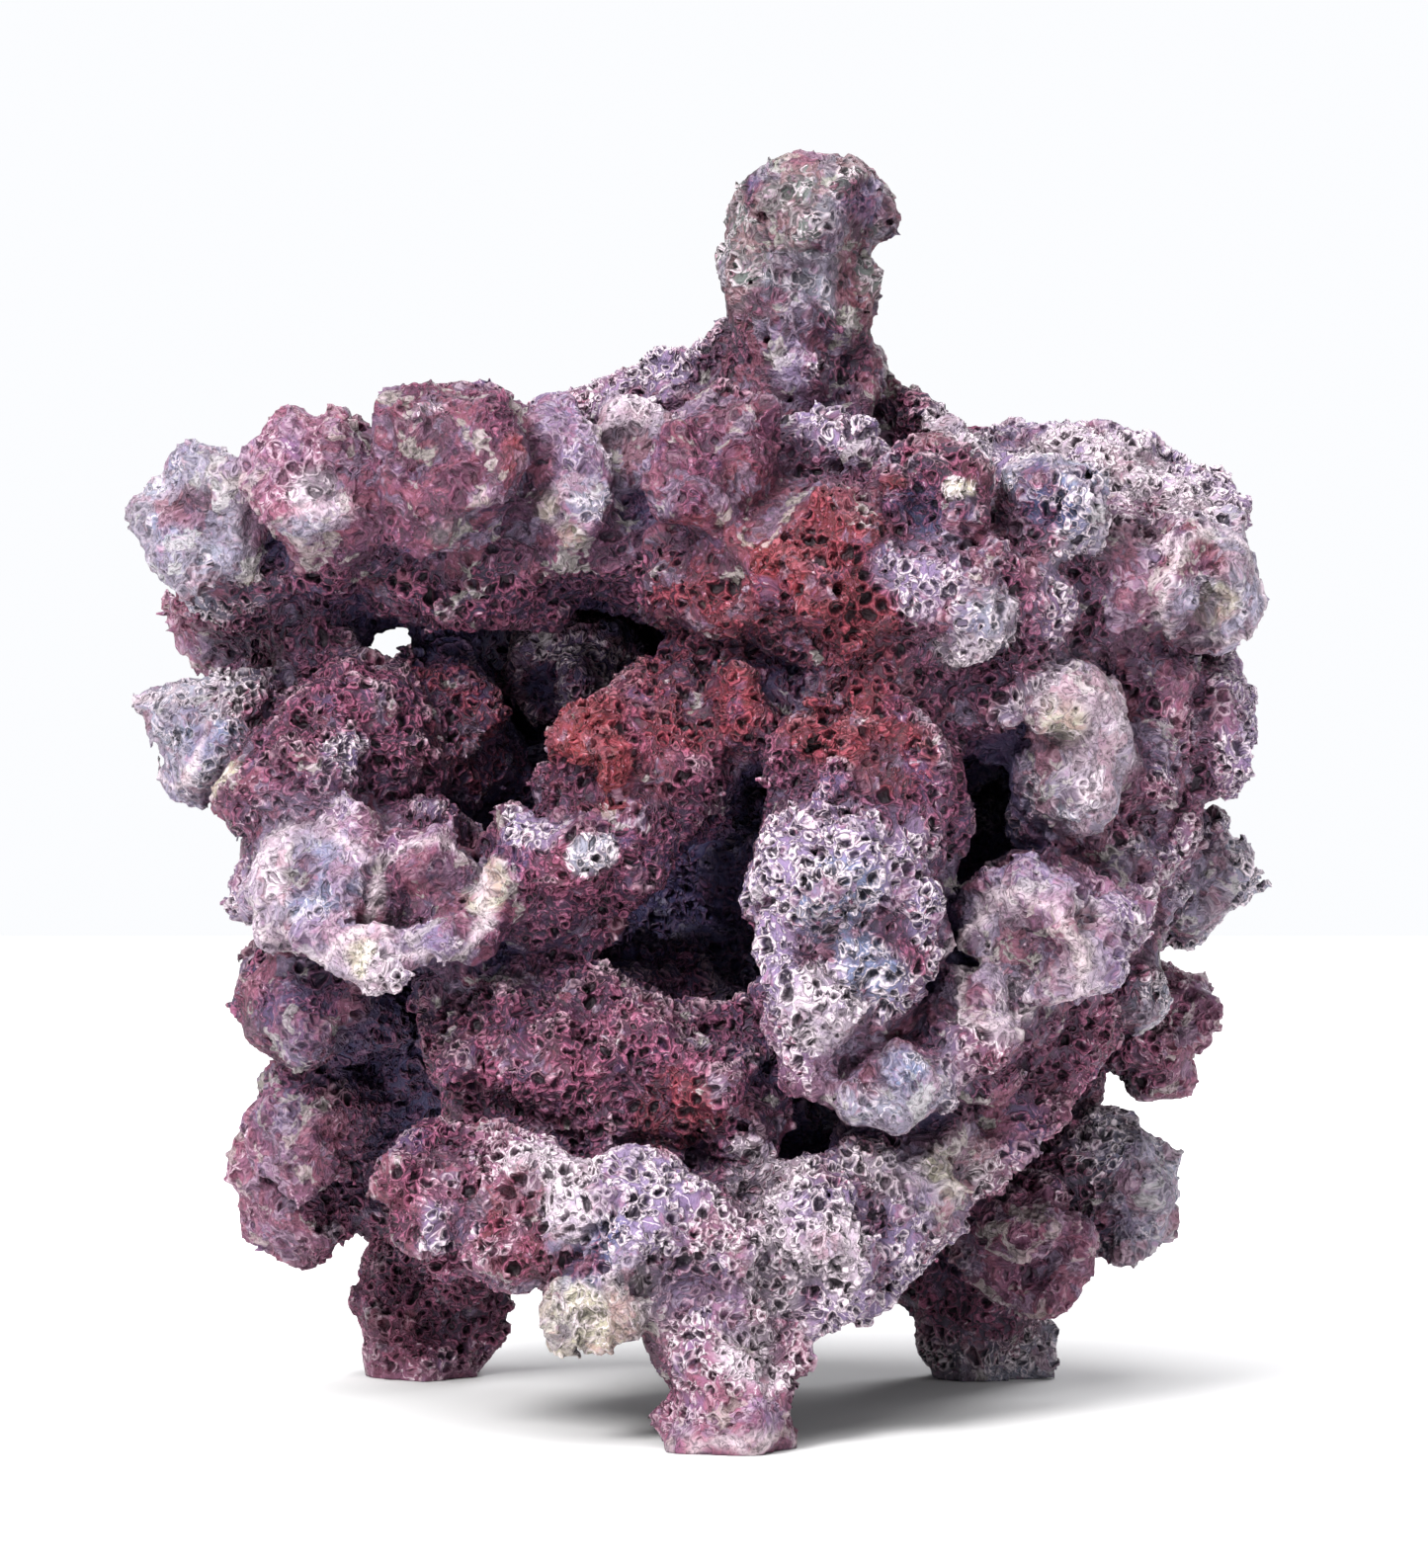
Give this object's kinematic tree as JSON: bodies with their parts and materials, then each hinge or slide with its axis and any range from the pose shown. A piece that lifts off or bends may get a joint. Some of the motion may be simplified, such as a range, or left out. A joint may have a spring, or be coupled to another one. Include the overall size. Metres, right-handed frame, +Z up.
{
  "type": "branching reef rock",
  "caption": "Branching porous reef rock for an aquarium, with stubby fused fingers, open caves and a knob on top; stands on worn finger ends.",
  "frame": {"origin": "bottom centre of the rock's box, on the surface that it stands on", "axes": "+Z up, +X to the rock's right seen from its front, -Y towards the front that the picture shows"},
  "size_m": [0.2265, 0.1846, 0.255],
  "materials": {
    "reef_stone": "rough, porous, matt"
  },
  "bodies": {
    "root": {"reef_rock": "reef_stone"}
  },
  "joints": []
}
